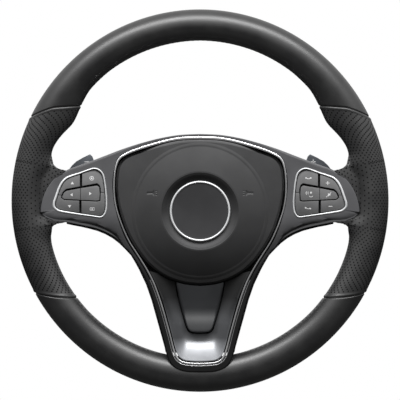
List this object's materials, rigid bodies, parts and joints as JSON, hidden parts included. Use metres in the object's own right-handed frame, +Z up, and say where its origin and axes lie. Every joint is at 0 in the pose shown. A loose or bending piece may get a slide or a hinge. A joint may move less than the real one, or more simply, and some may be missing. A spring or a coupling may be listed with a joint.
{
  "type": "car steering wheel",
  "caption": "Three-spoke car steering wheel with perforated grips, airbag cover that is the horn push, switch packs and shift paddles.",
  "frame": {"origin": "middle of the column bore, on the steering axis", "axes": "+Y along the steering axis away from the driver, +Z up with the wheel straight ahead, +X to the driver's right"},
  "size_m": [0.3768, 0.0835, 0.3824],
  "materials": {
    "cast_alloy": "cast, satin",
    "foam": "matte",
    "smooth_leather": "fine grain, satin",
    "perforated_leather": "perforated, satin",
    "satin_trim": "satin metallic grey",
    "bright_trim": "bright",
    "cover_skin": "fine grain, soft",
    "emblem_face": "satin",
    "steel": "zinc plated",
    "cushion": "coated cloth",
    "brass": "plain",
    "spoke_metal": "polished",
    "dark_satin": "dark satin",
    "black_plastic": "matte",
    "socket_plastic": "natural",
    "ring_silver": "satin silver",
    "board": "circuit board",
    "mat": "silicone",
    "key_face": "satin grey",
    "paddle_metal": "satin silver"
  },
  "bodies": {
    "wheel": {"armature": "cast_alloy", "rim_foam": "foam", "top_leather": "smooth_leather", "left_grip_leather": "perforated_leather", "right_grip_leather": "perforated_leather", "bottom_leather": "smooth_leather", "front_bezel": "satin_trim", "chrome_surround": "bright_trim", "horn_springs": "steel", "horn_contacts": "brass", "spoke_dish": "spoke_metal", "spoke_tongue": "dark_satin", "rear_cover": "black_plastic", "cover_screws": "steel", "harness_socket": "socket_plastic", "left_switch_ring": "ring_silver", "left_switch_housing": "black_plastic", "left_switch_board": "board", "left_switch_mat": "mat", "left_paddle_pin": "steel", "left_paddle_bracket": "black_plastic", "right_switch_ring": "ring_silver", "right_switch_housing": "black_plastic", "right_switch_board": "board", "right_switch_mat": "mat", "right_paddle_pin": "steel", "right_paddle_bracket": "black_plastic"},
    "airbag_module": {"airbag_cover": "cover_skin", "emblem_disc": "emblem_face", "emblem_ring": "bright_trim", "airbag_housing": "steel", "gas_generator": "steel", "folded_airbag": "cushion"},
    "left_paddle": {"left_paddle": "paddle_metal"},
    "right_paddle": {"right_paddle": "paddle_metal"},
    "left_key_up": {"left_key_up": "key_face"},
    "left_key_select": {"left_key_select": "key_face"},
    "left_key_previous": {"left_key_previous": "key_face"},
    "left_key_next": {"left_key_next": "key_face"},
    "left_key_down": {"left_key_down": "key_face"},
    "left_key_menu": {"left_key_menu": "key_face"},
    "right_key_plus": {"right_key_plus": "key_face"},
    "right_key_call": {"right_key_call": "key_face"},
    "right_key_mute": {"right_key_mute": "key_face"},
    "right_key_voice": {"right_key_voice": "key_face"},
    "right_key_minus": {"right_key_minus": "key_face"},
    "right_key_hang_up": {"right_key_hang_up": "key_face"}
  },
  "joints": [
    {"name": "horn_press", "type": "slide", "parent": "wheel", "child": "airbag_module", "axis": [0, 1, 0], "range_m": [0, 0.0015], "stiffness_N_per_m": 9000, "deforming": ["horn_springs"]},
    {"name": "left_paddle_pull", "type": "hinge", "parent": "wheel", "child": "left_paddle", "pos_m": [-0.079, -0.0305, 0.003], "axis": [0, 0, 1], "range_deg": [0, 5], "stiffness_Nm_per_rad": 1.5},
    {"name": "right_paddle_pull", "type": "hinge", "parent": "wheel", "child": "right_paddle", "pos_m": [0.079, -0.0305, 0.003], "axis": [0, 0, -1], "range_deg": [0, 5], "stiffness_Nm_per_rad": 1.5},
    {"name": "left_key_up_press", "type": "slide", "parent": "wheel", "child": "left_key_up", "axis": [0, 1, 0], "range_m": [0, 0.0008], "stiffness_N_per_m": 3000},
    {"name": "left_key_select_press", "type": "slide", "parent": "wheel", "child": "left_key_select", "axis": [0, 1, 0], "range_m": [0, 0.0008], "stiffness_N_per_m": 3000},
    {"name": "left_key_previous_press", "type": "slide", "parent": "wheel", "child": "left_key_previous", "axis": [0, 1, 0], "range_m": [0, 0.0008], "stiffness_N_per_m": 3000},
    {"name": "left_key_next_press", "type": "slide", "parent": "wheel", "child": "left_key_next", "axis": [0, 1, 0], "range_m": [0, 0.0008], "stiffness_N_per_m": 3000},
    {"name": "left_key_down_press", "type": "slide", "parent": "wheel", "child": "left_key_down", "axis": [0, 1, 0], "range_m": [0, 0.0008], "stiffness_N_per_m": 3000},
    {"name": "left_key_menu_press", "type": "slide", "parent": "wheel", "child": "left_key_menu", "axis": [0, 1, 0], "range_m": [0, 0.0008], "stiffness_N_per_m": 3000},
    {"name": "right_key_plus_press", "type": "slide", "parent": "wheel", "child": "right_key_plus", "axis": [0, 1, 0], "range_m": [0, 0.0008], "stiffness_N_per_m": 3000},
    {"name": "right_key_call_press", "type": "slide", "parent": "wheel", "child": "right_key_call", "axis": [0, 1, 0], "range_m": [0, 0.0008], "stiffness_N_per_m": 3000},
    {"name": "right_key_mute_press", "type": "slide", "parent": "wheel", "child": "right_key_mute", "axis": [0, 1, 0], "range_m": [0, 0.0008], "stiffness_N_per_m": 3000},
    {"name": "right_key_voice_press", "type": "slide", "parent": "wheel", "child": "right_key_voice", "axis": [0, 1, 0], "range_m": [0, 0.0008], "stiffness_N_per_m": 3000},
    {"name": "right_key_minus_press", "type": "slide", "parent": "wheel", "child": "right_key_minus", "axis": [0, 1, 0], "range_m": [0, 0.0008], "stiffness_N_per_m": 3000},
    {"name": "right_key_hang_up_press", "type": "slide", "parent": "wheel", "child": "right_key_hang_up", "axis": [0, 1, 0], "range_m": [0, 0.0008], "stiffness_N_per_m": 3000}
  ]
}
